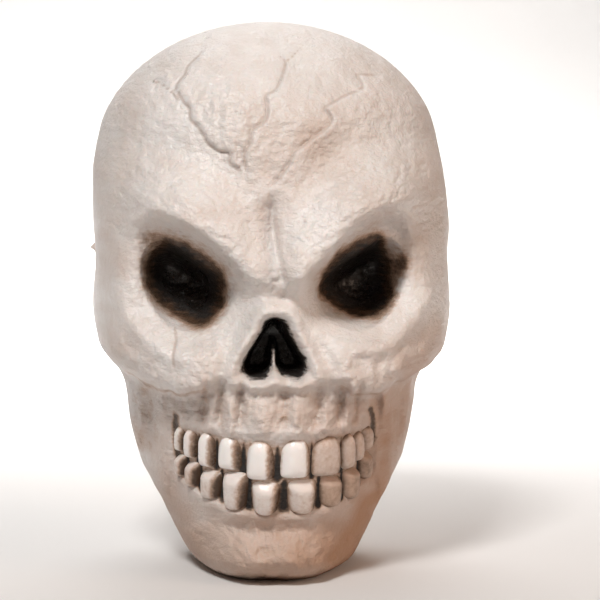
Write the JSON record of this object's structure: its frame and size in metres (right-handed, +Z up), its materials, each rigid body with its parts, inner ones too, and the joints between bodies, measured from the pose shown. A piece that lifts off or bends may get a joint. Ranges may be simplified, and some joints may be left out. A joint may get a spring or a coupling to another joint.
{
  "type": "skull decoration",
  "caption": "Hollow life-size skull decoration in pale moulded plastic with dark sockets and bared teeth, a flat foot to stand on and a swinging ring on the back to hang it by.",
  "frame": {"origin": "on the flat foot under the back half, on the mid-plane of the face, 15 mm behind the parting plane of the two halves", "axes": "+Z up from the foot to the crown, -Y the way the face looks, +X to the right as the picture shows it"},
  "size_m": [0.15, 0.181, 0.23],
  "materials": {
    "bone_plastic": "warm white moulded plastic with a soft sheen, black paint brushed into the sockets, nose and tooth gaps",
    "screw_steel": "bright steel",
    "zinc_steel": "zinc-plated steel"
  },
  "bodies": {
    "skull": {"face_shell": "bone_plastic", "cranium_shell": "bone_plastic", "shell_screw_1": "screw_steel", "shell_screw_2": "screw_steel", "shell_screw_3": "screw_steel", "shell_screw_4": "screw_steel", "shell_screw_5": "screw_steel", "shell_screw_6": "screw_steel", "hang_strap": "zinc_steel", "hanger_screw": "screw_steel"},
    "ring": {"hang_ring": "zinc_steel"}
  },
  "joints": [
    {"name": "ring_swing", "type": "hinge", "parent": "skull", "child": "ring", "pos_m": [0, 0.07475, 0.15801], "axis": [1, 0, 0], "range_deg": [0, 180]}
  ]
}
